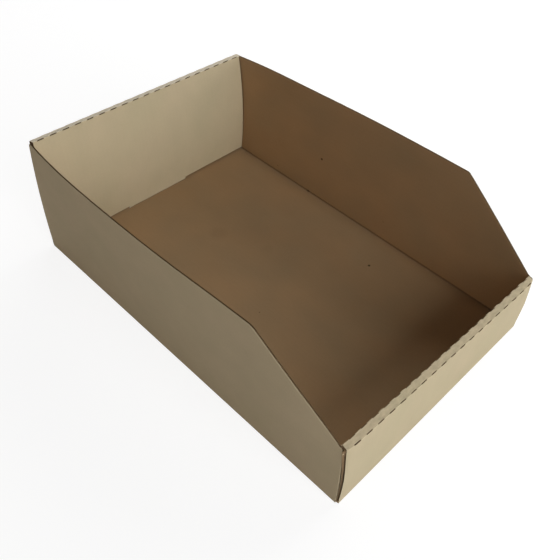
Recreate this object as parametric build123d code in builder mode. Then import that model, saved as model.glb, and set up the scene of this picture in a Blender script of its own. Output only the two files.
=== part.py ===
from build123d import *
from math import hypot
import os

# A shelf bin folded from one die-cut sheet of corrugated board and locked without glue.
# The origin is the middle of the base, on the shelf. The low front faces -Y.

# Outside sizes
length = 295
width = 200
rear_height = 97
lip_height = 50
slope_length = 74

# The board and its folds
board = 1.5
fold_radius = 0.8
layer_gap = 0.1
foot_gap = 1.0
edge_clearance = 0.9
inner_clearance = 0.5

# Front and back walls: two layers rolled over the corner tabs, with a narrow strip on top
roll_depth = 3 * board + 2 * layer_gap
roll_rise = 1.0
back_inner_bow = 4.5
front_inner_bow = 1.0

# The outer layers, at the left and the right end: how far the tops lean in, how far the middles bow out
back_leans = (2.3, 0.4)
front_leans = (3.5, 0.6)
back_bows = (2.3, 0.5)
front_bows = (1.0, 0.4)
tab_bow_share = 0.7

# How far the corners stand out of the upright at the tops, less than nothing where they are drawn in
back_left_out = 2.0
back_left_belly = 1.5
back_right_belly = 0
back_right_out = -9.0
front_left_out = -1.7
front_right_out = -0.6

# The free top edges of the side walls spring out between the corners
wall_bulge = 8.0
wall_place_share = (0.37, 0.2, 0.0, -0.25, -0.4)
left_bulge_share = (0.78, 1.0, 0.88, 0.36, 0.02)
right_bulge_share = (-0.5, -0.06, 0.46, 0.7, 0.38)
wall_levels = 8

# Corner tabs, trapped between the two layers of the front and back walls
back_tab = 62
front_tab = 46
tab_cut = 12
tab_cut_rise = 24
slope_round = 4

# Locking tab at the foot of each inner panel, and its slot through the floor
lock_width = 60
lock_taper = 1.0
lock_play = 0.3
base_clearance = 0.3

# Cuts through the folds of the rolled walls, so that the sheet turns over twice
slit_length = 5
slit_pitch = 10
slit_width = 0.8
slit_end_margin = 2
back_slit_shift = 0
front_slit_shift = 1.2

overrun = 5

half_length = length / 2
half_width = width / 2
wall_rise = rear_height - board
lip_rise = lip_height - board
tab_face = half_length - board - layer_gap
strip_drop = board * hypot(1, roll_rise / roll_depth)
foot_height = board + foot_gap
lock_face = half_length - roll_depth


def between(ends, x):
    # A size at x, from its values at the left and the right end
    return ends[0] + (ends[1] - ends[0]) * (x + half_width) / width


def bow_share(reach):
    # Share of the full bow at this height, from none at the foot to none at the top
    return max(0, 1 - (2 * reach - 1) ** 2)


def wall_plan(side, reach, back_out, back_belly, front_out, bulge_share):
    # Plan of a side wall and its two corner tabs, at the foot for reach 0 and at the top for reach 1
    front_reach = reach * wall_rise / lip_rise
    back_x = side * (half_width + back_out * reach + back_belly * bow_share(reach) - board)
    front_x = side * (half_width + front_out * front_reach - board)

    def back_face(x):
        bow = tab_bow_share * bow_share(reach) * between(back_bows, x)
        return tab_face - reach * between(back_leans, x) + bow

    def front_face(x):
        bow = tab_bow_share * bow_share(front_reach) * between(front_bows, x)
        return -tab_face + front_reach * between(front_leans, x) - bow

    def wall_points(inset):
        points = []
        for place, bulge in zip(wall_place_share, bulge_share):
            x = side * (half_width + reach * wall_bulge * bulge - inset)
            points.append((x, place * length))
        return points

    back_turn = Vector(back_x, back_face(back_x))
    back_end = Vector(side * (half_width - back_tab), back_face(side * (half_width - back_tab)))
    front_turn = Vector(front_x, front_face(front_x))
    front_end = Vector(side * (half_width - front_tab), front_face(side * (half_width - front_tab)))
    outwards = Vector(side * board, 0)
    forwards = Vector(0, -board)
    with BuildSketch() as plan:
        with BuildLine():
            Line(back_end, back_turn)
            TangentArc(back_turn, back_turn + outwards + forwards, tangent=(side, 0))
            Spline(back_turn + outwards + forwards, *wall_points(0), front_turn + outwards - forwards)
            TangentArc(front_turn, front_turn + outwards - forwards, tangent=(side, 0))
            Line(front_turn, front_end)
            Line(front_end, front_end - forwards)
            Line(front_end - forwards, front_turn - forwards)
            Spline(front_turn - forwards, *reversed(wall_points(board)), back_turn + forwards)
            Line(back_turn + forwards, back_end + forwards)
            Line(back_end + forwards, back_end)
        make_face()
    return plan.sketch


def roll_section(end, height, lean, outer_bow, inner_bow):
    # Section of a rolled wall: outer panel, top strip and inner panel
    def at(depth, z):
        return end * (half_length - depth), z

    def bowed(start, finish, out):
        return (start[0] + finish[0]) / 2 + end * out, (start[1] + finish[1]) / 2

    rise_at_board = roll_rise * board / roll_depth
    outer_foot = at(0, board)
    outer_fold = at(lean, height)
    inner_fold = at(lean + roll_depth, height + roll_rise)
    inner_foot = at(roll_depth, foot_height)
    inner_foot_back = at(roll_depth - board, foot_height)
    inner_corner = at(lean + roll_depth - board, height + roll_rise - rise_at_board - strip_drop)
    outer_corner = at(lean + board, height + rise_at_board - strip_drop)
    outer_foot_back = at(board, board)
    with BuildSketch() as section:
        with BuildLine():
            ThreePointArc(outer_foot, bowed(outer_foot, outer_fold, outer_bow), outer_fold)
            Line(outer_fold, inner_fold)
            ThreePointArc(inner_fold, bowed(inner_fold, inner_foot, -inner_bow), inner_foot)
            Line(inner_foot, inner_foot_back)
            ThreePointArc(inner_foot_back, bowed(inner_foot_back, inner_corner, -inner_bow), inner_corner)
            Line(inner_corner, outer_corner)
            ThreePointArc(outer_corner, bowed(outer_corner, outer_foot_back, outer_bow), outer_foot_back)
            Line(outer_foot_back, outer_foot)
        make_face()
        fillet(section.vertices().sort_by(Axis.Y)[-2:], fold_radius)
    return section.sketch


def end_cut(side, out, height, inset, top):
    # What lies beyond the slanting end of a panel, seen from the front
    foot = side * (half_width - inset)
    head = side * (half_width + out * (top - board) / (height - board) - inset)
    far = side * (half_width + overrun + abs(out) + wall_bulge)
    with BuildSketch() as beyond:
        with BuildLine():
            Polyline((foot, -overrun), (foot, board), (head, top), (far, top), (far, -overrun), close=True)
        make_face()
    return beyond.sketch


# The floor, with its outside folds rounded, its corners relieved and its two locking slots
with BuildPart() as floor:
    with BuildSketch():
        Rectangle(width, length)
    extrude(amount=board)
    fillet(floor.edges().group_by(Axis.Z)[0], fold_radius)
    with BuildSketch():
        with GridLocations(width, length, 2, 2):
            Rectangle(2 * edge_clearance, 2 * edge_clearance)
    extrude(amount=board, mode=Mode.SUBTRACT)
    with BuildSketch():
        with Locations((0, lock_face + board / 2), (0, -lock_face - board / 2)):
            Rectangle(lock_width + 2 * lock_play, board + 2 * lock_play)
    extrude(amount=board, mode=Mode.SUBTRACT)


# The side walls, each with a tab at both ends, trimmed to the slope and under the rolled walls
def side_wall(side, back_out, back_belly, front_out, bulge_share):
    back_notch = lock_face - between(back_leans, side * half_width) - layer_gap
    front_notch = lock_face - between(front_leans, side * half_width) - layer_gap
    back_seat = rear_height - strip_drop - layer_gap
    front_seat = lip_height - strip_drop - layer_gap
    slope_start = -half_length + slope_length
    slope_foot = lip_height + roll_rise
    top = rear_height + overrun
    with BuildPart() as wall:
        for level in range(wall_levels + 1):
            reach = level / wall_levels
            with BuildSketch(Plane.XY.offset(board + reach * wall_rise)):
                add(wall_plan(side, reach, back_out, back_belly, front_out, bulge_share))
        loft()
        with BuildSketch(Plane.YZ) as front_air:
            with BuildLine():
                Polyline(
                    (-half_length - overrun, front_seat), (-front_notch, front_seat),
                    (-front_notch, slope_foot), (slope_start, rear_height),
                    (0, rear_height), (0, top), (-half_length - overrun, top), close=True)
            make_face()
            fillet(front_air.vertices().sort_by_distance((0, slope_start, rear_height))[0], slope_round)
        extrude(amount=width, both=True, mode=Mode.SUBTRACT)
        with BuildSketch(Plane.YZ):
            with BuildLine():
                Polyline(
                    (back_notch, back_seat), (half_length + overrun, back_seat),
                    (half_length + overrun, top), (back_notch, top), close=True)
            make_face()
        extrude(amount=width, both=True, mode=Mode.SUBTRACT)
        with BuildSketch(Plane.XY.offset(board)):
            with Locations((0, half_length), (0, -half_length)):
                Rectangle(2 * width, 2 * (half_length - tab_face + board))
        extrude(amount=foot_gap, mode=Mode.SUBTRACT)
        for place, tab in ((half_length, back_tab), (-half_length, front_tab)):
            tab_end = side * (half_width - tab)
            with BuildSketch(Plane.XZ.offset(-place)):
                with BuildLine():
                    Polyline(
                        (tab_end - side * overrun, 0), (tab_end + side * tab_cut, 0),
                        (tab_end + side * tab_cut, foot_height), (tab_end - side * overrun, tab_cut_rise),
                        close=True)
                make_face()
            extrude(amount=roll_depth + overrun, both=True, mode=Mode.SUBTRACT)
    return wall


left_wall = side_wall(-1, back_left_out, back_left_belly, front_left_out, left_bulge_share)
right_wall = side_wall(1, back_right_out, back_right_belly, front_right_out, right_bulge_share)


# The rolled walls
def rolled_wall(end, height, leans, outer_bows, inner_bow, corners_out, slit_shift):
    with BuildPart() as roll:
        for x in (-half_width - overrun, half_width + overrun):
            with BuildSketch(Plane.YZ.offset(x)):
                add(roll_section(end, height, between(leans, x), between(outer_bows, x), inner_bow))
        loft(ruled=True)
        with BuildSketch(Plane.XZ):
            for side, out in zip((-1, 1), corners_out):
                add(end_cut(side, out, height, edge_clearance, height + roll_rise + overrun))
        extrude(amount=length, both=True, mode=Mode.SUBTRACT)
        inner_start = lock_face + board + layer_gap / 2
        with BuildSketch(Plane.XZ.offset(-end * inner_start)):
            for side, out in zip((-1, 1), corners_out):
                add(end_cut(side, out, height, board + inner_clearance, height - strip_drop))
        extrude(amount=end * half_length, mode=Mode.SUBTRACT)
        with BuildSketch(Plane.XZ.offset(-end * lock_face)):
            with BuildLine():
                Polyline(
                    (-lock_width / 2, foot_height + board), (lock_width / 2, foot_height + board),
                    (lock_width / 2, board), (lock_width / 2 - lock_taper, base_clearance),
                    (-lock_width / 2 + lock_taper, base_clearance), (-lock_width / 2, board),
                    close=True)
            make_face()
        extrude(amount=-end * board)
        fold_length = width + sum(corners_out) - 2 * edge_clearance
        slits = int((fold_length - slit_length - 2 * slit_end_margin) / slit_pitch) + 1
        middle = (corners_out[1] - corners_out[0]) / 2 + slit_shift
        run = Vector(width, end * (leans[0] - leans[1]))
        strip_normal = Vector(0, end * roll_rise, roll_depth).normalized()
        for depth, rise, panel_normal in ((0, 0, Vector(0, end)), (roll_depth, roll_rise, Vector(0, -end))):
            fold = Vector(middle, end * (half_length - sum(leans) / 2 - depth), height + rise)
            with BuildSketch(Plane(fold, x_dir=run, z_dir=strip_normal + panel_normal)):
                with GridLocations(slit_pitch, 0, slits, 1):
                    Rectangle(slit_length, slit_width)
            extrude(amount=2 * board, both=True, mode=Mode.SUBTRACT)
    return roll


back_wall = rolled_wall(
    1, rear_height, back_leans, back_bows, back_inner_bow,
    (back_left_out, back_right_out), back_slit_shift)
front_wall = rolled_wall(
    -1, lip_height, front_leans, front_bows, front_inner_bow,
    (front_left_out, front_right_out), front_slit_shift)

with BuildPart() as shelf_bin:
    add(floor.part)
    add(left_wall.part)
    add(right_wall.part)
    add(back_wall.part)
    add(front_wall.part)

shelf_bin.part.label = "shelf_bin"

os.makedirs("parts", exist_ok=True)
export_step(shelf_bin.part, "parts/shelf_bin.step")
print("solids", len(shelf_bin.part.solids()), "volume", shelf_bin.part.volume, shelf_bin.part.bounding_box())
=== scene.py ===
import math

import bmesh
import bpy
import numpy as np
from mathutils import Matrix, Vector, noise
from mathutils.bvhtree import BVHTree
from mathutils.geometry import delaunay_2d_cdt


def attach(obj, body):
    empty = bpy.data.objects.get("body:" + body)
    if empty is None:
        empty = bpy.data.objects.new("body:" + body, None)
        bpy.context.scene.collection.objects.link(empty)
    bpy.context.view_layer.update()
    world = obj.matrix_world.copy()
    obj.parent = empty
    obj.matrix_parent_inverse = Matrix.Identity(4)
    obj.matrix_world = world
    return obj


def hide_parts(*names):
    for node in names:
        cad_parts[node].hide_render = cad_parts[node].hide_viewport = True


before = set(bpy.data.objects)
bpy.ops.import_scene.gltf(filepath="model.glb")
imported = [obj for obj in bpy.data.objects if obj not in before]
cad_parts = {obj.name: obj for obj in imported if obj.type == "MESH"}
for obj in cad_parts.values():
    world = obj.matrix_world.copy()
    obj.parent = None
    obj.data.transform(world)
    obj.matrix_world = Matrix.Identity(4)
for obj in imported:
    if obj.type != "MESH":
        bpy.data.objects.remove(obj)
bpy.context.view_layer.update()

metre = 1000  # shapes are worked out in millimetres, as the solid is drawn

# The sheet: the sizes of the solid, with its folds as sharp as they look
sheet = {
    "width": 200, "length": 295, "board": 1.5,
    "foldRadius": 0.35, "creaseRadius": 0.2, "cornerRadius": 0.3, "layerGap": 0.1, "rollDepth": 5.0,
    "wallHeight": 97, "slopeLength": 74, "slopeShift": {-1: 0.7, 1: -0.7}, "slopeRound": 1.2, "leftRaise": 1,
    "edgeClearance": 0.9, "cornerRelief": 2.0, "tabFoot": 2.5, "tabBowShare": 0.7,
    "backTab": 62, "frontTab": 46, "tabCut": 12, "tabCutSlope": 1.8, "frontTabDrop": 1.5,
    "lockWidth": 60, "lockTaper": 1.0, "lockFoot": 0.3, "slotPlay": 0.3,
    "slitLength": 5, "slitPitch": 10, "slitDrift": 0.25, "slitSpare": 0.17, "slitSteps": (-1.2, 1.2, 4, 6),
    "leftRearDraw": 1.1, "leftRearReach": 0.2, "topWave": 0.12, "endDrop": 0.7, "endReach": 1.3,
}
# The two rolled walls, pairs of values being for their left and right ends
frontRoll = {
    "end": -1, "height": 50, "strip": 4.8, "rise": (1.1, 1.0), "lean": (3.25, 0.35),
    "bow": (1.0, 0.4), "innerBow": (1.0, 1.0), "out": (-2.4, -0.6), "belly": (-0.1, 0.0),
    "footHeight": (2.1, 2.1), "footBack": (0, 0), "endRound": 1.6, "ragged": 0.42,
    "panelInset": (1.1, 0.9), "stripInset": (1.5, 1.3), "innerInset": (0.9, 2.0),
    "cornerFall": (0.4, 0.3), "innerEnd": (-1.1, 0.0), "endCurl": (1.2, 1.5),
    "looseAt": (0, 15, 30, 50), "loose": (0.05, 0.45, 0.8, 0.8), "looseReach": 6,
    "firstSlit": -88.3, "slits": 19,
}
backRoll = {
    "end": 1, "height": 97.4, "strip": 5.0, "rise": (1.2, 0.5), "lean": (2.3, 0.4),
    "bow": (2.3, 0.5), "innerBow": (4.5, 3.2), "out": (2.0, -9.0), "belly": (0.0, 0.0),
    "footHeight": (2.0, 3.5), "footBack": (0.0, 0.6), "endRound": 0.8, "ragged": 0.16,
    "panelInset": (0.6, 0.6), "stripInset": (0.6, 0.6), "innerInset": (0.5, 2.0),
    "cornerFall": (0.0, 0.0), "innerEnd": (0.0, 0.0), "endCurl": (0.0, 0.0),
    "firstSlit": -95.5, "slits": 19,
}
# How a rolled wall changes towards its ends
wallEnds = {
    "roundReach": 3, "curlReach": 4, "fallReach": 8, "fallPower": 1.5, "fallInside": 0.2,
    "hiddenInset": 0.15, "thinStrip": 0.4,
}
# Raggedness of its two top folds: steps of the noise, share of it, swelling of the bridges between slits
raggedFolds = {"step": 1.9, "noise": (0.5, 1.1), "bridge": (0.15, 0.5), "lift": 0.35}
# How far the corners of the base stand off the square, front left, front right, back left, back right
baseShift = {"x": (-0.6, 1.2, -0.9, 0.2), "y": (-1.0, 0.2, -0.5, 1.3)}
# Small corrections of the free top edges, outwards, along the side walls
topTrim = {
    -1: ((-140, -0.6), (-110, -0.2), (-80, 0.3), (-45, -0.25), (0, -0.3), (25, -0.6), (60, -0.3), (95, -0.1),
         (115, 0.3), (145, 1.1)),
    1: ((-140, 0.0), (-80, -0.2), (-45, -0.5), (0, 0.2), (35, 0.8), (80, 0.3), (140, 0.0)),
}
halfWidth = sheet["width"] / 2
halfLength = sheet["length"] / 2
board = sheet["board"]
wallRise = sheet["wallHeight"] - board
lipRise = frontRoll["height"] - board
tabFace = halfLength - board - sheet["layerGap"]
lockFace = halfLength - sheet["rollDepth"]


def between(ends, x):
    return ends[0] + (ends[1] - ends[0]) * (x + halfWidth) / sheet["width"]


def bowShare(reach):
    return np.clip(1 - (2 * reach - 1) ** 2, 0, 1)


def stripDrop(wall, x):
    return board * math.hypot(1, between(wall["rise"], x) / wall["strip"])


def settled(point):
    # the base stands a little off the square, less and less towards the tops
    x, y, z = point
    across, along = (x + halfWidth) / sheet["width"], (y + halfLength) / sheet["length"]
    slopeEnds = (-halfLength, -halfLength + sheet["slopeLength"])
    top = np.interp(y, slopeEnds, (frontRoll["height"], sheet["wallHeight"]))
    share = np.clip(1 - z / top, 0, 1)
    moves = []
    for key in ("x", "y"):
        frontLeft, frontRight, backLeft, backRight = baseShift[key]
        front = frontLeft + (frontRight - frontLeft) * across
        back = backLeft + (backRight - backLeft) * across
        moves.append(share * (front + (back - front) * along))
    return np.array((x + moves[0], y + moves[1], z))


# One folded sheet with an outer and an inner skin, kept as pairs of points
class FoldedSheet:
    def __init__(self):
        self.numbers = {}
        self.outer, self.inner, self.blank, self.cut = [], [], [], []
        self.faces = []

    def pair(self, outer, inner, blank, cut):
        key = tuple(np.round(outer, 3)) + tuple(np.round(inner, 3))
        if key not in self.numbers:
            self.numbers[key] = len(self.outer)
            self.outer.append(np.array(outer, float))
            self.inner.append(np.array(inner, float))
            self.blank.append(blank)
            self.cut.append(cut)
        number = self.numbers[key]
        self.cut[number] = min(self.cut[number], cut)
        return number

    def grid(self, outer, inner, blank, active, cut):
        rows, columns = outer.shape[:2]
        index = [[self.pair(outer[r, c], inner[r, c], tuple(blank[r, c]), cut[r, c]) for c in range(columns)]
                 for r in range(rows)]
        for r in range(rows - 1):
            for c in range(columns - 1):
                if active[r, c]:
                    self.faces.append((index[r][c], index[r][c + 1], index[r + 1][c + 1], index[r + 1][c]))
        return index

    def boundary(self):
        uses = {}
        for face in self.faces:
            for a, b in zip(face, face[1:] + face[:1]):
                uses.setdefault((min(a, b), max(a, b)), []).append((a, b, face))
        return [use[0] for use in uses.values() if len(use) == 1]


# Cut edges: the board a little crushed, a thin liner on each side and a channel between them, where the
# fluting is cut open. The panel, fold, tab and top ends are shares of the channel's depth.
cutEdge = {
    "crush": 0.15, "liner": (0.17, 0.04), "depth": 3.0, "closed": 0.06, "roughness": 0.35, "pitch": 2.3,
    "panelEnd": (0.3, 1.3), "foldEnd": 0.3, "tabEnd": 0.7, "topEnd": 0.4, "topReach": 4,
}
smoothAngle = math.radians(38)


def sheetMesh(name, folded):
    outer = np.array([settled(point) for point in folded.outer])
    inner = np.array([settled(point) for point in folded.inner])
    count = len(outer)
    edges = folded.boundary()
    neighbours = {}
    for a, b, face in edges:
        neighbours.setdefault(a, []).append((b, face))
        neighbours.setdefault(b, []).append((a, face))
    loops, seen = [], set()  # the closed loops of cut edge, the longest is the outline
    for start in neighbours:
        if start in seen:
            continue
        loop, queue = set(), [start]
        while queue:
            number = queue.pop()
            if number not in loop:
                loop.add(number)
                queue.extend(other for other, face in neighbours[number])
        seen |= loop
        loops.append(loop)
    outline = max(loops, key=len)
    middles = (outer + inner) / 2
    across = (inner - outer) / np.linalg.norm(inner - outer, axis=1)[:, None]
    for number in outline:
        crush = cutEdge["crush"] * folded.cut[number]
        outer[number] += crush * across[number]
        inner[number] -= crush * across[number]
    points, blanks = list(outer) + list(inner), list(folded.blank) * 2
    faces, kinds = [], []
    for face in folded.faces:
        faces += [face, tuple(number + count for number in reversed(face))]
        kinds += [0, 1]
    rings = {}
    for number in sorted(outline):
        o, i = outer[number], inner[number]
        inward, along = np.zeros(3), np.zeros(3)
        for sign, (other, face) in zip((1, -1), neighbours[number]):
            inward += np.mean(middles[list(face)], axis=0) - middles[number]
            step = middles[other] - middles[number]
            along += sign * step / max(np.linalg.norm(step), 1e-6)
        if np.linalg.norm(along) > 1e-6:
            along /= np.linalg.norm(along)
            inward -= along * (inward @ along)
        inward /= max(np.linalg.norm(inward), 1e-6)
        wave = noise.noise(Vector(o / cutEdge["pitch"]))
        depth = folded.cut[number] * cutEdge["depth"] * (1 + cutEdge["roughness"] * wave)
        depth = max(depth, cutEdge["closed"])
        first, second = o + cutEdge["liner"][0] * across[number], i - cutEdge["liner"][1] * across[number]
        base = len(points)
        points += [first, first + inward * depth, second + inward * depth, second]
        blanks += [folded.blank[number]] * 4
        rings[number] = (number, base, base + 1, base + 2, base + 3, number + count)
    for a, b, face in edges:
        if a in outline:
            for step, kind in enumerate((0, 2, 2, 2, 1)):
                faces.append((rings[b][step], rings[a][step], rings[a][step + 1], rings[b][step + 1]))
                kinds.append(kind)
        else:
            faces.append((b, a, a + count, b + count))
            kinds.append(2)
    mesh = bpy.data.meshes.new(name)
    mesh.from_pydata([Vector(p) / metre for p in points], [], faces)
    mesh.update()
    mesh.polygons.foreach_set("material_index", kinds)
    attribute = mesh.attributes.new("blank", "FLOAT_VECTOR", "POINT")
    attribute.data.foreach_set("vector", np.array([(u, v, 0) for u, v in blanks], float).ravel() / metre)
    return finishMesh(name, mesh)


def finishMesh(name, mesh):
    work = bmesh.new()
    work.from_mesh(mesh)
    loose = [vertex for vertex in work.verts if not vertex.link_faces]
    bmesh.ops.delete(work, geom=loose, context="VERTS")
    bmesh.ops.recalc_face_normals(work, faces=work.faces)
    work.to_mesh(mesh)
    work.free()
    mesh.shade_smooth()
    mesh.set_sharp_from_angle(angle=smoothAngle)
    piece = bpy.data.objects.new(name, mesh)
    bpy.context.scene.collection.objects.link(piece)
    return piece


# Rolled walls: outer panel, top strip and inner panel, with the slits through both top folds
arcShares = (0, 0.18, 0.5, 0.82, 1)
panelShares = np.linspace(0, 1, 13)
baseRows = 5


def filletPoints(before, corner, after, radius):
    into = (corner - before) / np.linalg.norm(corner - before)
    away = (after - corner) / np.linalg.norm(after - corner)
    turn = math.acos(np.clip(into @ away, -1, 1))
    tangent = radius * math.tan(turn / 2)
    start, finish = corner - into * tangent, corner + away * tangent
    middle = (away - into) / np.linalg.norm(away - into)
    centre = corner + middle * radius / math.cos(turn / 2)
    points = []
    for share in arcShares:
        ray = (start - centre) * math.sin((1 - share) * turn) + (finish - centre) * math.sin(share * turn)
        points.append(centre + ray / math.sin(turn))
    return [start - into * sheet["slitSpare"], *points, finish + away * sheet["slitSpare"]]


def rolledSection(x, wall):
    # depth from the outside and height above the shelf, row by row, for both skins
    lean, bow, innerBow, rise = (between(wall[key], x) for key in ("lean", "bow", "innerBow", "rise"))
    strip, height = wall["strip"], wall["height"]
    roll, foot = sheet["rollDepth"] - between(wall["footBack"], x), between(wall["footHeight"], x)
    boardRise, drop = rise * board / strip, stripDrop(wall, x)
    reach = wallEnds["roundReach"]
    ends = math.exp(-(x + halfWidth) / reach) + math.exp((x - halfWidth) / reach)
    radius, crease = sheet["foldRadius"], sheet["creaseRadius"]
    turns = np.radians((0, 25, 50, 75, 90))
    outerBase = [(radius * (1 - math.sin(a)), radius * (1 - math.cos(a))) for a in turns]
    innerBase = [(board + 0.4, board), (board + 0.25, board), (board + 0.1, board + 0.02),
                 (board + 0.02, board + 0.1), (board, board + 0.2)]
    skins = []
    for base, corners, radii in (
            (outerBase, ((0, board), (lean, height), (lean + strip, height + rise), (roll, foot)),
             (radius + wall["endRound"] * ends, radius)),
            (innerBase, ((board, board), (lean + board, height + boardRise - drop),
                         (lean + strip - board, height + rise - boardRise - drop), (roll - board, foot)),
             (crease, crease))):
        start, first, second, end = (np.array(corner) for corner in corners)
        slopeUp = first - start + np.array((4 * bow, 0))
        slopeDown = end - second + np.array((4 * innerBow, 0))
        firstArc = filletPoints(first - slopeUp, first, second, radii[0])
        secondArc = filletPoints(first, second, second + slopeDown, radii[1])
        rows = [np.array(point) for point in base]
        for share in panelShares[1:-1]:
            rows.append(start + (first - start) * share - np.array((4 * bow * share * (1 - share), 0)))
        rows += firstArc
        rows.append((firstArc[-1] + secondArc[0]) / 2)
        rows += secondArc
        for share in panelShares[1:-1]:
            rows.append(second + (end - second) * share + np.array((4 * innerBow * share * (1 - share), 0)))
        skins.append(rows + [end])
    return skins


def rolledWall(folded, wall):
    end, height = wall["end"], wall["height"]
    reachX = halfWidth - sheet["edgeClearance"]
    foldLeft, foldRight = -reachX - wall["out"][0], reachX + wall["out"][1]
    slitEnds, middles = [], []
    drift = sheet["slitDrift"]
    for number in range(wall["slits"]):
        middle = wall["firstSlit"] + number * sheet["slitPitch"]
        middle += drift * noise.noise(Vector((number * 1.7, end, 0)))
        half = sheet["slitLength"] / 2 + drift * noise.noise(Vector((number * 1.3, end, 5)))
        slitEnds.append((middle - half, middle + half))
        middles += [middle + step for step in sheet["slitSteps"]]
    span = foldRight - foldLeft
    slitShares = [((a - foldLeft) / span, (b - foldLeft) / span) for a, b in slitEnds]
    lock = [(x + reachX) / (2 * reachX) for x in (-sheet["lockWidth"] / 2, sheet["lockWidth"] / 2)]
    relief = sheet["cornerRelief"] / (2 * reachX)
    columns = {0, relief, 1 - relief, 1, *lock}
    for pair in slitShares:
        columns |= set(pair)
    apart = 0.004  # the least share of the width between two columns
    for middle in middles:
        share = (middle - foldLeft) / span
        clear = min(abs(share - other) for other in columns) > apart
        if relief + apart < share < 1 - relief - apart and clear:
            columns.add(share)
    columns = sorted(columns)
    panel = len(panelShares) - 2
    firstArc = baseRows + panel
    foldRows = len(arcShares) + 2
    secondArc = firstArc + foldRows + 1
    rowCount = secondArc + foldRows + panel + 1
    lockRows = 3
    shape = (rowCount + lockRows - 1, len(columns))
    outer, inner, blank, cut = (np.zeros(shape + extra) for extra in ((3,), (3,), (2,), ()))
    ragged = np.zeros((rowCount, 2))  # share of the first and the second fold's raggedness in each row
    ragged[firstArc:secondArc + 1, 0] = (0.9, 1, 1, 1, 1, 1, 0.9, 0.5, 0.1)
    ragged[secondArc - 2:secondArc + foldRows, 1] = (0.1, 0.5, 0.9, 1, 1, 1, 1, 1, 0.9)
    foldPlaces = []
    for c, share in enumerate(columns):
        approx = -reachX + 2 * reachX * share
        skins = rolledSection(approx, wall)
        path = 0
        step = approx / raggedFolds["step"]
        folds = np.array([noise.noise(Vector((step, end * 7 + fold, 3))) for fold in (0, 4)])
        bridge = 0 if any(a - 1e-4 <= share <= b + 1e-4 for a, b in slitShares) else 1
        swell = wall["ragged"] * (folds * raggedFolds["noise"] + np.array(raggedFolds["bridge"]) * bridge)
        curl = wall["endCurl"][0] * math.exp(-(approx + reachX) / wallEnds["curlReach"])
        curl += wall["endCurl"][1] * math.exp((approx - reachX) / wallEnds["curlReach"])
        for r in range(rowCount):
            move = ragged[r] * swell
            for skin, store in zip(skins, (outer, inner)):
                depth, z = skin[r] + np.array((move[1] - move[0], raggedFolds["lift"] * (move[0] + move[1])))
                reach = max(0, min(1, (z - board) / (height - board)))
                if r < secondArc:
                    depth += curl * (0.5 if r == secondArc - 1 else max(0, 2 * reach - 1))
                inset = np.full(2, sheet["edgeClearance"])
                if r >= secondArc + 4:
                    inset[:] = wall["innerInset"]
                elif c in (0, len(columns) - 1):
                    if r > firstArc + 2:
                        inset[:] = wall["stripInset"]
                        if store is inner:
                            inset -= wallEnds["thinStrip"]
                    else:
                        high = max(0, (z - height) / wallEnds["fallReach"] + 1)
                        fall = np.array(wall["cornerFall"]) * high ** wallEnds["fallPower"]
                        inset[:] = np.array(wall["panelInset"]) + fall
                        if store is inner:
                            inset[:] = wallEnds["hiddenInset"] + reach * np.array(wall["innerEnd"])
                            inset += wallEnds["fallInside"] * fall
                    inset -= bowShare(reach) * np.array(wall["belly"])
                left = -halfWidth + inset[0] - wall["out"][0] * reach
                right = halfWidth - inset[1] + wall["out"][1] * reach
                x = left + (right - left) * share
                if r == rowCount - 1 and lock[0] - 1e-6 <= share <= lock[1] + 1e-6:
                    x = approx
                store[r, c] = (x, end * (halfLength - depth), z)
            blank[r, c] = (approx, end * (halfLength + path))
            if c == len(columns) // 2 and r in (firstArc + 3, secondArc + 3):
                foldPlaces.append(halfLength + path)
            if r + 1 < rowCount:
                path += np.linalg.norm(skins[0][r + 1] - skins[0][r])
        for extra, z in enumerate((board, sheet["lockFoot"])):
            r = rowCount + extra
            for store in (outer, inner):
                store[r, c] = store[rowCount - 1, c]
                store[r, c, 0] *= 1 - sheet["lockTaper"] / (sheet["lockWidth"] / 2) * extra
                store[r, c, 2] = z
            blank[r, c] = blank[rowCount - 1, c] + np.array((0, end * (wall["footHeight"][0] - z)))
    active = np.ones((shape[0] - 1, shape[1] - 1), bool)
    for c in range(len(columns) - 1):
        middle = (columns[c] + columns[c + 1]) / 2
        if any(a < middle < b for a, b in slitShares):
            active[firstArc:firstArc + foldRows - 1, c] = False
            active[secondArc:secondArc + foldRows - 1, c] = False
        if not lock[0] < middle < lock[1]:
            active[rowCount - 1:, c] = False
    least, more = cutEdge["panelEnd"]
    cut[baseRows:firstArc] = (least + more * (1 - panelShares[1:-1] ** 3))[:, None]
    cut[firstArc:secondArc + 4] = cutEdge["foldEnd"]
    cut[:, 1:-1] = 0
    return folded.grid(outer, inner, blank, active, cut)[0], foldPlaces


# Side walls, each with its corner tabs
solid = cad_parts["shelf_bin"]
solidTree = BVHTree.FromPolygons([vertex.co * metre for vertex in solid.data.vertices],
                                 [tuple(polygon.vertices) for polygon in solid.data.polygons])


def backFace(x, z):
    reach = (z - board) / wallRise
    bow = sheet["tabBowShare"] * bowShare(reach) * between(backRoll["bow"], x)
    return tabFace - reach * between(backRoll["lean"], x) + bow


def frontFace(x, z):
    reach = (z - board) / lipRise
    bow = sheet["tabBowShare"] * bowShare(reach) * between(frontRoll["bow"], x)
    nearLeft = max(0, 1 - max(0, x + halfWidth) / frontRoll["looseReach"])
    loose = np.interp(z, frontRoll["looseAt"], frontRoll["loose"]) * nearLeft
    return -tabFace + reach * between(frontRoll["lean"], x) - bow + loose


def alongWall(side, share, z, inset):
    first = frontFace(side * halfWidth, z) + inset
    last = backFace(side * halfWidth, z) - inset
    return first + share * (last - first)


# Rays from outside that find the solid's side walls, and the powers of the curves through what they hit
probe = {
    "shares": (0.02, 0.98, 25), "heights": (8, 95, 16), "start": 140, "nearest": 80,
    "slopeShare": 0.5, "topPower": 9, "bellyPower": 7,
}


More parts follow.
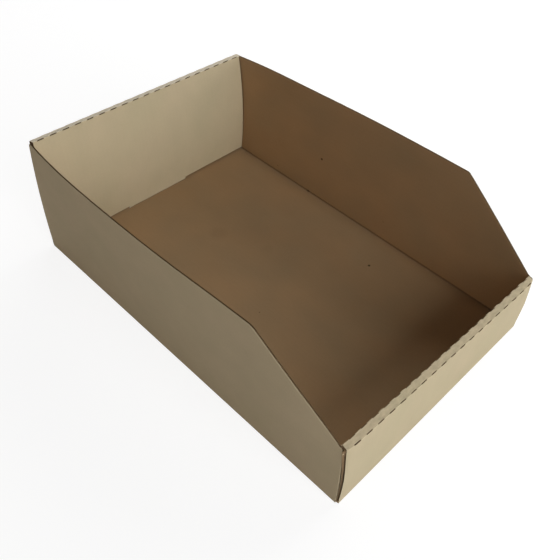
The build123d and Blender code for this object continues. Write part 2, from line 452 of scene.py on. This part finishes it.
def wallSpread(side):
    # how far the solid's wall stands out of the upright at its top, and its belly, along the wall
    knots, tops, bellies = np.linspace(*probe["shares"]), [], []
    trimAt, trimBy = zip(*topTrim[side])
    for knot in knots:
        places, reaches = [], []
        for z in np.linspace(*probe["heights"]):
            y = alongWall(side, knot, z, board)
            hit = solidTree.ray_cast(Vector((side * probe["start"], y, z)), Vector((-side, 0, 0)))[0]
            if hit is not None and side * hit.x > probe["nearest"]:
                places.append(side * hit.x - halfWidth)
                reaches.append((z - board) / wallRise)
        reaches = np.array(reaches)
        basis = np.stack([reaches, bowShare(reaches)], 1)
        if knot < probe["slopeShare"]:
            basis = basis[:, :1]
        fit = np.linalg.lstsq(basis, np.array(places), rcond=None)[0]
        tops.append(fit[0] + np.interp(alongWall(side, knot, board, board), trimAt, trimBy))
        draw = sheet["leftRearDraw"] * max(0, 1 - (1 - knot) / sheet["leftRearReach"]) * (side < 0)
        bellies.append((fit[1] if len(fit) > 1 else 0) - draw)
    fit = np.polynomial.Polynomial.fit
    return fit(knots, tops, probe["topPower"]), fit(knots, bellies, probe["bellyPower"])


def wallTop(side, y, notch):
    # height of the wall's top edge: beside the front strip, up the slope and along the level part
    start = -halfLength + sheet["slopeLength"] + sheet["slopeShift"][side]
    low = frontRoll["height"] + (sheet["leftRaise"] if side < 0 else 0)
    rise = (sheet["wallHeight"] - low) / (start + notch)
    ease = sheet["slopeRound"]
    gap = start - y
    if gap > ease:
        return max(low, sheet["wallHeight"] - rise * gap)
    return sheet["wallHeight"] - rise * max(0, gap + ease) ** 2 / (4 * ease)


# Columns and rows of a side wall and its tabs, the last row ending at the cut top
wallGrid = {
    "columns": 67, "endSteps": (0.5, 1.2, 2.2), "slopeSteps": (-3, -2, -1, 0, 1, 2, 3), "cornerReach": 4,
    "tabSteps": (1, 0.87, 0.75, 0.62, 0.5, 0.37, 0.25, 0.12, 0.03), "rows": 19, "topRow": 1.6,
}


def sideWall(folded, side):
    spread, belly = wallSpread(side)
    frontNotch = lockFace - between(frontRoll["lean"], side * halfWidth)
    frontSeat = frontRoll["height"] - stripDrop(frontRoll, side * halfWidth) - sheet["layerGap"]
    seats = {"front": frontSeat - sheet["frontTabDrop"],
             "back": sheet["wallHeight"] - stripDrop(backRoll, side * halfWidth) - sheet["layerGap"]}
    radius, crease, tip = sheet["foldRadius"], sheet["creaseRadius"], sheet["cornerRadius"]

    def outX(share, z):
        reach = (z - board) / wallRise
        return halfWidth + reach * spread(share) + bowShare(reach) * belly(share)

    footEnd = tabFace - tip
    places = set(np.linspace(-footEnd, footEnd, wallGrid["columns"]))
    places |= {sign * (footEnd - inset) for sign in (-1, 1) for inset in wallGrid["endSteps"]}
    places |= {-halfLength + sheet["slopeLength"] + step for step in wallGrid["slopeSteps"]}
    shares = [(place + footEnd) / (2 * footEnd) for place in sorted(places)]
    tabSteps, arcs = wallGrid["tabSteps"], np.radians((90, 67.5, 45, 22.5))
    columns = [("frontTab", step) for step in tabSteps] + [("frontArc", a) for a in arcs]
    columns += [("wall", share) for share in shares]
    columns += [("backArc", a) for a in arcs[::-1]] + [("backTab", step) for step in tabSteps[::-1]]
    rise, topRow = np.linspace(0, 1, wallGrid["rows"]), wallGrid["topRow"]
    turns = np.radians((0, 30, 60, 90))
    foldOuter = [(radius * (math.sin(a) - 1), radius * (1 - math.cos(a))) for a in turns]
    # inside, the crease bulges a little towards the wall
    foldInner = [(-board - 0.3, board), (-board + 0.35, board - 0.25), (-board + 0.95, board + 0.15),
                 (-board + 0.8, board + 0.8)]
    foldRows = len(foldOuter)
    shape = (foldRows + len(rise) + 1, len(columns))
    outer, inner, blank, cut = (np.zeros(shape + extra) for extra in ((3,), (3,), (2,), ()))

    def wallPair(share, z):
        # the inner skin opposite the outer one, but shorter by the corner folds at its ends
        first, last = alongWall(side, 0, z, tip), alongWall(side, 1, z, tip)
        y = first + share * (last - first)
        reach = wallGrid["cornerReach"]
        closer = max(0, 1 - (y - first) / reach) - max(0, 1 - (last - y) / reach)
        return y, y + (board + crease - tip) * closer

    def place(kind, value, z):
        # outer and inner point of the sheet at this column and height
        if kind == "wall":
            x, (outerY, innerY) = outX(value, z), wallPair(value, z)
            return (side * x, outerY, z), (side * (x - board), innerY, z)
        back = kind.startswith("back")
        sign, face = (1, backFace) if back else (-1, frontFace)
        wallX = outX(1 if back else 0, z)
        corner = face(side * halfWidth, z)
        if kind.endswith("Arc"):
            deep, flat = 1 - math.sin(value), 1 - math.cos(value)
            return ((side * (wallX - tip * flat), corner - sign * tip * deep, z),
                    (side * (wallX - board - crease * flat), corner - sign * (board + crease * deep), z))
        far = halfWidth - (sheet["backTab"] if back else sheet["frontTab"])
        x = wallX - tip + (far - wallX + tip) * value
        innerX = wallX - board - crease + (far - wallX + board + crease) * value
        y = face(side * x, z) + (corner - face(side * (wallX - tip), z)) * (1 - value)
        return (side * x, y, z), (side * innerX, y - sign * board, z)

    for c, (kind, value) in enumerate(columns):
        bottom = sheet["tabFoot"]
        back = kind.startswith("back") or kind == "wall" and value > 0.5
        seat = seats["back" if back else "front"]
        if kind.endswith("Tab"):
            length = sheet["backTab"] if back else sheet["frontTab"]
            bottom += max(0, value * length - (length - sheet["tabCut"])) * sheet["tabCutSlope"]
        if kind.endswith("Arc"):
            bottom = sheet["lockFoot"]
        if kind == "wall":
            y = alongWall(side, value, sheet["wallHeight"] / 2, tip)
            for attempt in range(6):
                top = wallTop(side, y, frontNotch)
                y = alongWall(side, value, top, tip)
            top += sheet["topWave"] * noise.noise(Vector((y / 3.7, side * 9, 0)))
            corner = min(y - alongWall(side, 0, top, tip), alongWall(side, 1, top, tip) - y)
            top -= sheet["endDrop"] * max(0, 1 - corner / sheet["endReach"]) ** 2
            seat = top - topRow
            endCut = min(1, cutEdge["topEnd"] + corner / cutEdge["topReach"])
        else:
            top = seat + topRow
        heights = list(bottom + (seat - bottom) * rise) + [top]
        for r in range(shape[0]):
            if r >= foldRows:
                outer[r, c], inner[r, c] = place(kind, value, heights[r - foldRows])
            elif kind == "wall":
                for store, fold, y in zip((outer, inner), (foldOuter, foldInner), wallPair(value, board)):
                    store[r, c] = (side * (halfWidth + fold[r][0]), y, fold[r][1])
            else:
                outer[r, c], inner[r, c] = place(kind, value, bottom - foldRows + r)
            blank[r, c] = (side * (halfWidth + outer[r, c, 2]), outer[r, c, 1])
        cut[-1, c] = endCut if kind == "wall" else 0
    cut[foldRows + 2:-2, 0] = cutEdge["tabEnd"]
    cut[foldRows + 2:-2, -1] = cutEdge["tabEnd"]
    wallColumns = [c for c, (kind, value) in enumerate(columns) if kind == "wall"]
    first, last = wallColumns[0], wallColumns[-1]
    active = np.ones((shape[0] - 1, shape[1] - 1), bool)
    for row in [*range(foldRows), shape[0] - 2]:
        active[row, :first] = False
        active[row, last:] = False
    index = folded.grid(outer, inner, blank, active, cut)
    slopeEnd = -halfLength + sheet["slopeLength"]
    slope = [c for c in wallColumns if -frontNotch - 0.5 < outer[-1, c, 1] < slopeEnd]
    return index[0][first:last + 1], (outer[-1, slope], inner[-1, slope])


floorGrid = {"x": (-90, 90, 13), "y": (-132, 132, 19)}


def floorPanel(folded, left, right, front, back):
    # the flat floor between the four folds, its corners relieved, with its two locking slots
    loop, flat = [], []

    def follow(numbers):
        loop.extend(numbers)
        flat.extend(Vector(folded.outer[number][:2]) for number in numbers)

    def relieve(column, wall):
        loop.append(None)
        flat.append(Vector((folded.outer[column][0], folded.outer[wall][1])))

    follow(front[1:-1])
    relieve(front[-2], right[0])
    follow(right)
    relieve(back[-2], right[-1])
    follow(back[-2:0:-1])
    relieve(back[1], left[-1])
    follow(left[::-1])
    relieve(front[1], left[0])
    owners = list(loop)
    edges = [(n, (n + 1) % len(loop)) for n in range(len(loop))]
    halfSlot = sheet["lockWidth"] / 2 + sheet["slotPlay"]
    low, high = lockFace - sheet["slotPlay"], lockFace + board + sheet["layerGap"]
    for end in (-1, 1):
        base = len(flat)
        ring = ((-halfSlot, low), (halfSlot, low), (halfSlot, high), (-halfSlot, high))
        flat += [Vector((x, end * y)) for x, y in ring]
        edges += [(base + n, base + (n + 1) % 4) for n in range(4)]
        owners += [None] * 4
    for x in np.linspace(*floorGrid["x"]):
        for y in np.linspace(*floorGrid["y"]):
            flat.append(Vector((x, y)))
            owners.append(None)
    points, unused, triangles, origins = delaunay_2d_cdt(flat, edges, [], 0, 1e-4)[:4]
    numbers = []
    for point, origin in zip(points, origins):
        owner = next((owners[n] for n in origin if owners[n] is not None), None)
        if owner is None:
            owner = folded.pair((point.x, point.y, 0), (point.x, point.y, board), (point.x, point.y), 0)
        numbers.append(owner)
    polygon = flat[:len(loop)]
    for triangle in triangles:
        centre = sum((points[n] for n in triangle), Vector((0, 0))) / 3
        inside = False
        for n, here in enumerate(polygon):
            there = polygon[n - 1]
            if (here.y > centre.y) != (there.y > centre.y):
                cross = (there.x - here.x) * (centre.y - here.y) / (there.y - here.y) + here.x
                inside ^= centre.x < cross
        slot = abs(centre.x) < halfSlot and low < abs(centre.y) < high
        if inside and not slot:
            folded.faces.append(tuple(numbers[n] for n in triangle))


folded = FoldedSheet()
frontFoot, frontFolds = rolledWall(folded, frontRoll)
backFoot, backFolds = rolledWall(folded, backRoll)
leftFoot, leftSlope = sideWall(folded, -1)
rightFoot, rightSlope = sideWall(folded, 1)
floorPanel(folded, leftFoot, rightFoot, frontFoot, backFoot)
shelfBin = sheetMesh("folded_sheet", folded)
print("sheet folded:", len(shelfBin.data.polygons), "faces")

# Fluting paper in the cut slopes, where the knife went across the flutes
fluting = {
    "pitch": 5.67, "sway": 0.25, "thickness": 0.16, "depth": 1.6, "below": 0.12, "step": 0.45, "spare": 0.6,
}


def flutingRibbon(name, slope):
    outer, inner = (np.array([settled(point) for point in line]) for line in slope)
    lengths = np.concatenate([[0], np.cumsum(np.linalg.norm(np.diff(outer, axis=0), axis=1))])
    stations = np.arange(fluting["spare"], lengths[-1] - fluting["spare"], fluting["step"])

    def along(line, s):
        return np.array([np.interp(s, lengths, line[:, axis]) for axis in range(3)])

    points, faces, blanks = [], [], []
    for s in stations:
        o, i = along(outer, s), along(inner, s)
        across = (i - o) / np.linalg.norm(i - o)
        run = along(outer, s + 0.1) - along(outer, s - 0.1)
        down = np.cross(run, across)
        down *= -np.sign(down[2]) / np.linalg.norm(down)
        centre = (o + i) / 2 + across * fluting["sway"] * math.sin(2 * math.pi * s / fluting["pitch"])
        half = across * fluting["thickness"] / 2
        upper, lower = centre + down * fluting["below"], centre + down * fluting["depth"]
        points += [upper - half, upper + half, lower + half, lower - half]
        blanks += [(abs(o[2]) + halfWidth, o[1], 0)] * 4
    for n in range(len(stations) - 1):
        for k in range(4):
            faces.append((4 * n + k, 4 * n + (k + 1) % 4, 4 * n + 4 + (k + 1) % 4, 4 * n + 4 + k))
    last = 4 * (len(stations) - 1)
    faces += [(3, 2, 1, 0), (last, last + 1, last + 2, last + 3)]
    mesh = bpy.data.meshes.new(name)
    mesh.from_pydata([Vector(p) / metre for p in points], [], faces)
    attribute = mesh.attributes.new("blank", "FLOAT_VECTOR", "POINT")
    attribute.data.foreach_set("vector", np.array(blanks, float).ravel() / metre)
    return finishMesh(name, mesh)


ribbons = [flutingRibbon("slope_fluting_left", leftSlope), flutingRibbon("slope_fluting_right", rightSlope)]
print("fluting made:", sum(len(ribbon.data.polygons) for ribbon in ribbons), "faces")


# Node trees: sums through a socket's own operators, every other node through one method
class Socket:
    def __init__(self, nodes, link):
        self.nodes, self.link = nodes, link

    def sum(self, operation, *values):
        return self.nodes.node("Math", {"operation": operation}, dict(enumerate(values)))

    def __add__(self, other): return self.sum("ADD", self, other)
    def __radd__(self, other): return self.sum("ADD", other, self)
    def __sub__(self, other): return self.sum("SUBTRACT", self, other)
    def __rsub__(self, other): return self.sum("SUBTRACT", other, self)
    def __mul__(self, other): return self.sum("MULTIPLY", self, other)
    def __rmul__(self, other): return self.sum("MULTIPLY", other, self)
    def __truediv__(self, other): return self.sum("DIVIDE", self, other)
    def __gt__(self, other): return self.sum("GREATER_THAN", self, other)
    def __lt__(self, other): return self.sum("LESS_THAN", self, other)
    def size(self): return self.sum("ABSOLUTE", self)
    def wave(self): return self.sum("SINE", self)
    def atLeast(self, other): return self.sum("MAXIMUM", self, other)
    def atMost(self, other): return self.sum("MINIMUM", self, other)


class Nodes:
    def __init__(self, owner):
        owner.use_nodes = True
        self.owner, self.tree = owner, owner.node_tree

    def node(self, kind, settings=None, sockets=None, output=0):
        node = self.tree.nodes.new("ShaderNode" + kind)
        for key, value in (settings or {}).items():
            setattr(node, key, value)
        self.feed(node, sockets or {})
        return Socket(self, node.outputs[output])

    def feed(self, node, sockets):
        for key, value in sockets.items():
            if isinstance(value, Socket):
                self.tree.links.new(value.link, node.inputs[key])
            else:
                node.inputs[key].default_value = value

    def vector(self, operation, sockets, output=0):
        return self.node("VectorMath", {"operation": operation}, sockets, output)

    def mixColour(self, share, first, second):
        return self.node("Mix", {"data_type": "RGBA"}, {0: share, 6: first, 7: second}, 2)

    def noise(self, place, size, detail=2.0):
        # from about -0.5 to 0.5, in spots of this size across and along the flutes
        scaled = self.vector("MULTIPLY", {0: place, 1: (1 / size[0], 1 / size[1], 1)})
        return self.node("TexNoise", None, {"Vector": scaled, "Scale": 1.0, "Detail": detail}, "Fac") - 0.5


def near(value, middle, reach):
    # 1 at the middle, falling to 0 at this reach from it
    return (1 - (value - middle).size() / reach).atLeast(0)


# Board finishes, laid out on the flat sheet in millimetres, u across the flutes and v along them
outerLiner = {
    "pale": (0.566, 0.459, 0.301, 1), "deep": (0.532, 0.443, 0.285, 1), "roughness": 0.85,
    "cloud": (14, 20), "cloudy": 0.10, "fibre": (3.2, 0.5), "fibrous": 0.10, "fleck": 0.35,
    # painted light and shade on the top strips: the front strip darker, the back strip lighter
    "pitch": 3.3, "washboard": 0.004, "stripMottle": 0.55, "stripPaintedLightAndShade": (0.93, 1.06), "wear": 0.22,
    # painted light: a pale grey mixed into the back top strip, standing in for light on it
    "paintedLightColour": (0.74, 0.68, 0.56, 1), "paintedLightShare": 0.55,
}
innerLiner = {
    "pale": (0.374, 0.237, 0.122, 1), "deep": (0.335, 0.226, 0.122, 1), "roughness": 0.88,
    "cloud": (24, 34), "cloudy": 0.16, "fibre": (3.6, 0.55), "fibrous": 0.14, "fleck": 0.5,
    # the crease values paint shade in a band along the creases at the foot of the side walls
    "pitch": 3.3, "washboard": 0.006, "creaseAt": 101.2, "creaseReach": 2.0, "creaseShade": 0.68,
}
# What both liners share: sizes of the grain in millimetres, and how strongly it shows
grain = {
    "fleckSize": (0.9, 0.5), "fleckFrom": 0.17, "mottleSize": (4.5, 2.4), "patchSize": (38, 46), "patchy": 2.2,
    "rubSize": (4.0, 2.0), "rubBase": 0.35, "rubReach": 1.0, "markEdge": 1.6, "fibreRelief": 0.8,
    "fluteRelief": 0.03, "fibreRough": 0.12, "fleckRough": 0.4, "bump": 0.5, "bumpHeight": 0.00012,
}
# Marks on the inside: place on the sheet, reach and how much they darken
marks = [(66.7, -35.4, 1.4, 0.85), (141.1, 49.7, 1.4, 0.8), (108.0, 97.0, 0.8, 0.5), (100.9, 59.6, 2.2, 0.6),
         (3.8, 70.7, 9.0, 0.08), (20.5, 32.0, 6.0, 0.05), (-31.0, -12.0, 0.7, 0.4), (118.0, -20.0, 0.7, 0.35)]
flutingPaper = {
    "colour": (0.24, 0.155, 0.085), "roughness": 0.95, "fibre": (1.2, 0.6), "fibrous": 0.5, "fibreRough": 0.1,
    "bump": 0.5, "bumpHeight": 0.0001,
}
boardGloss = 0.2


def boardFinish(name, look, inside):
    finish = Nodes(bpy.data.materials.new(name))
    sheetPlace = finish.node("Attribute", {"attribute_name": "blank"}, None, "Vector")
    place = finish.vector("SCALE", {0: sheetPlace, "Scale": float(metre)})
    u, v = (finish.node("SeparateXYZ", None, {0: place}, axis) for axis in ("X", "Y"))
    cloud = finish.noise(place, look["cloud"], 3.0)
    fibre = finish.noise(place, look["fibre"], 3.0)
    fleck = (finish.noise(place, grain["fleckSize"], 1.0).size() - grain["fleckFrom"]).atLeast(0)
    flute = (u * (2 * math.pi / look["pitch"])).wave()
    tone = 1 + cloud * look["cloudy"] + fibre * look["fibrous"] - fleck * look["fleck"]
    tone = tone + flute * look["washboard"]
    if inside:
        # painted shade: the inside darkened in a band along the creases at the foot of both side walls
        tone = tone * (1 - look["creaseShade"] * near(u.size(), look["creaseAt"], look["creaseReach"]))
        for markU, markV, reach, shade in marks:
            away = finish.vector("DISTANCE", {0: place, 1: (markU, markV, 0)}, "Value")
            tone = tone * (1 - shade * (grain["markEdge"] * (1 - away / reach)).atLeast(0).atMost(1))
    else:
        # painted light and shade: each top strip's tone scaled up or down, besides its own mottle
        for shade, side, folds in zip(look["stripPaintedLightAndShade"], (-1 * v, v), (frontFolds, backFolds)):
            strip = (side > folds[0]) * (side < folds[1])
            mottle = finish.noise(place, grain["mottleSize"], 3.0)
            tone = tone * (1 + strip * (mottle * look["stripMottle"] + (shade - 1)))
            for fold in folds:
                rub = (finish.noise(place, grain["rubSize"], 2.0) + grain["rubBase"]).atLeast(0)
                tone = tone * (1 + look["wear"] * rub * near(side, fold, grain["rubReach"]))
    hue = finish.noise(place, grain["patchSize"], 1.0) * grain["patchy"] + 0.5
    colour = finish.mixColour(hue, look["deep"], look["pale"])
    # painted light: the back top strip mixed towards a pale grey, standing in for light falling on it
    if not inside:
        paintedLightColour = (v > backFolds[0]) * (v < backFolds[1]) * look["paintedLightShare"]
        colour = finish.mixColour(paintedLightColour, colour, look["paintedLightColour"])
    colour = finish.vector("SCALE", {0: colour, "Scale": tone})
    relief = fibre * grain["fibreRelief"] + flute * grain["fluteRelief"] + fleck
    normal = finish.node("Bump", None, {
        "Strength": grain["bump"], "Distance": grain["bumpHeight"], "Height": relief})
    roughness = look["roughness"] + fibre * grain["fibreRough"] - fleck * grain["fleckRough"]
    finish.feed(finish.tree.nodes["Principled BSDF"], {
        "Base Color": colour, "Roughness": roughness, "Specular IOR Level": boardGloss, "Normal": normal})
    return finish.owner


def flutingFinish(name, look):
    finish = Nodes(bpy.data.materials.new(name))
    sheetPlace = finish.node("Attribute", {"attribute_name": "blank"}, None, "Vector")
    place = finish.vector("SCALE", {0: sheetPlace, "Scale": float(metre)})
    fibre = finish.noise(place, look["fibre"], 3.0)
    colour = finish.vector("SCALE", {0: look["colour"], "Scale": 1 + fibre * look["fibrous"]})
    normal = finish.node("Bump", None, {
        "Strength": look["bump"], "Distance": look["bumpHeight"], "Height": fibre})
    finish.feed(finish.tree.nodes["Principled BSDF"], {
        "Base Color": colour, "Roughness": look["roughness"] + fibre * look["fibreRough"],
        "Specular IOR Level": boardGloss, "Normal": normal})
    return finish.owner


cutPaper = flutingFinish("fluting_paper", flutingPaper)
outerPaper = boardFinish("outer_liner", outerLiner, False)
innerPaper = boardFinish("inner_liner", innerLiner, True)
for paper in (outerPaper, innerPaper, cutPaper):
    shelfBin.data.materials.append(paper)
for ribbon in ribbons:
    ribbon.data.materials.append(cutPaper)
    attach(ribbon, "root")
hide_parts("shelf_bin")
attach(shelfBin, "root")
print("finishes made")

# Camera, at the photograph's place
view = {
    "place": (-270.95, -233.38, 372.81), "azimuth": -49.51, "elevation": 45.84, "roll": 5.64,
    "lens": 43.66, "sensor": 36,
}
azimuth, elevation, roll = (math.radians(view[key]) for key in ("azimuth", "elevation", "roll"))
behind = Vector((math.sin(azimuth) * math.cos(elevation), -math.cos(azimuth) * math.cos(elevation),
                 math.sin(elevation)))
level = Vector((0, 0, 1)).cross(behind).normalized()
upright = behind.cross(level)
right = math.cos(roll) * level + math.sin(roll) * upright
up = math.cos(roll) * upright - math.sin(roll) * level
cameraData = bpy.data.cameras.new("camera")
cameraData.lens = view["lens"]
cameraData.sensor_width = view["sensor"]
camera = bpy.data.objects.new("camera", cameraData)
camera.matrix_world = Matrix.Translation(Vector(view["place"]) / metre) @ \
    Matrix((right, up, behind)).transposed().to_4x4()
bpy.context.scene.collection.objects.link(camera)
bpy.context.scene.camera = camera

# Light: large soft lamps two metres off, by compass turn from the front and height above the floor
lampDistance, lampSize = 2.0, 1.3
lamps = {
    "front_low": {"turn": 0, "height": 12, "power": 12.4, "tint": (0.93, 1.0, 1.03)},
    "front_high": {"turn": 352, "height": 35, "power": 16.6, "tint": (0.97, 1.0, 1.01)},
    "right_low": {"turn": 90, "height": 12, "power": 25.0, "tint": (1.0, 1.0, 1.0)},
    "right_high": {"turn": 90, "height": 35, "power": 10.0, "tint": (1.0, 1.0, 1.0)},
    "back_high": {"turn": 120, "height": 35, "power": 4.6, "tint": (1.0, 1.0, 1.0)},
    "back_low": {"turn": 135, "height": 12, "power": 13.0, "tint": (1.0, 1.0, 1.0)},
    "left": {"turn": 278, "height": 35, "power": 4.0, "tint": (1.18, 1.0, 0.9)},
}
for name, lamp in lamps.items():
    data = bpy.data.lights.new(name, "AREA")
    data.shape = "DISK"
    data.size = lampSize
    data.energy = lamp["power"]
    data.color = lamp["tint"]
    light = bpy.data.objects.new(name, data)
    turn, rise = math.radians(lamp["turn"]), math.radians(lamp["height"])
    direction = Vector((math.sin(turn) * math.cos(rise), -math.cos(turn) * math.cos(rise), math.sin(rise)))
    light.location = direction * lampDistance
    light.rotation_euler = direction.to_track_quat("Z", "Y").to_euler()
    bpy.context.scene.collection.objects.link(light)

# Studio: a pale floor that keeps the shadow, white all round for the camera and for gloss
studioLook = {"world": 0.01, "floor": (0.8, 0.8, 0.8, 1), "reach": 4, "glow": 1.2, "glowShare": 0.7}
studio = Nodes(bpy.data.worlds.new("studio"))
bpy.context.scene.world = studio.owner
seen = studio.node("LightPath", None, None, "Is Camera Ray")
for ray in ("Is Glossy Ray", "Is Transmission Ray"):
    seen = seen.atLeast(studio.node("LightPath", None, None, ray))
studio.feed(studio.tree.nodes["Background"], {
    "Color": (1, 1, 1, 1), "Strength": studioLook["world"] + seen * (1 - studioLook["world"])})

ground = bpy.data.meshes.new("studio_floor")
far = studioLook["reach"]
ground.from_pydata([(-far, -far, 0), (far, -far, 0), (far, far, 0), (-far, far, 0)], [], [(0, 1, 2, 3)])
floor = bpy.data.objects.new("studio_floor", ground)
bpy.context.scene.collection.objects.link(floor)
floorFinish = Nodes(bpy.data.materials.new("studio_floor"))
plain = floorFinish.tree.nodes["Principled BSDF"]
floorFinish.feed(plain, {"Base Color": studioLook["floor"], "Roughness": 1.0, "Specular IOR Level": 0.0})
glow = floorFinish.node("Emission", None, {"Strength": studioLook["glow"]})
share = floorFinish.node("LightPath", None, None, "Is Camera Ray") * studioLook["glowShare"]
surface = floorFinish.node("MixShader", None, {0: share, 1: Socket(floorFinish, plain.outputs[0]), 2: glow})
floorFinish.feed(floorFinish.tree.nodes["Material Output"], {"Surface": surface})
ground.materials.append(floorFinish.owner)
bpy.context.scene.view_settings.view_transform = "Standard"
print("studio made")
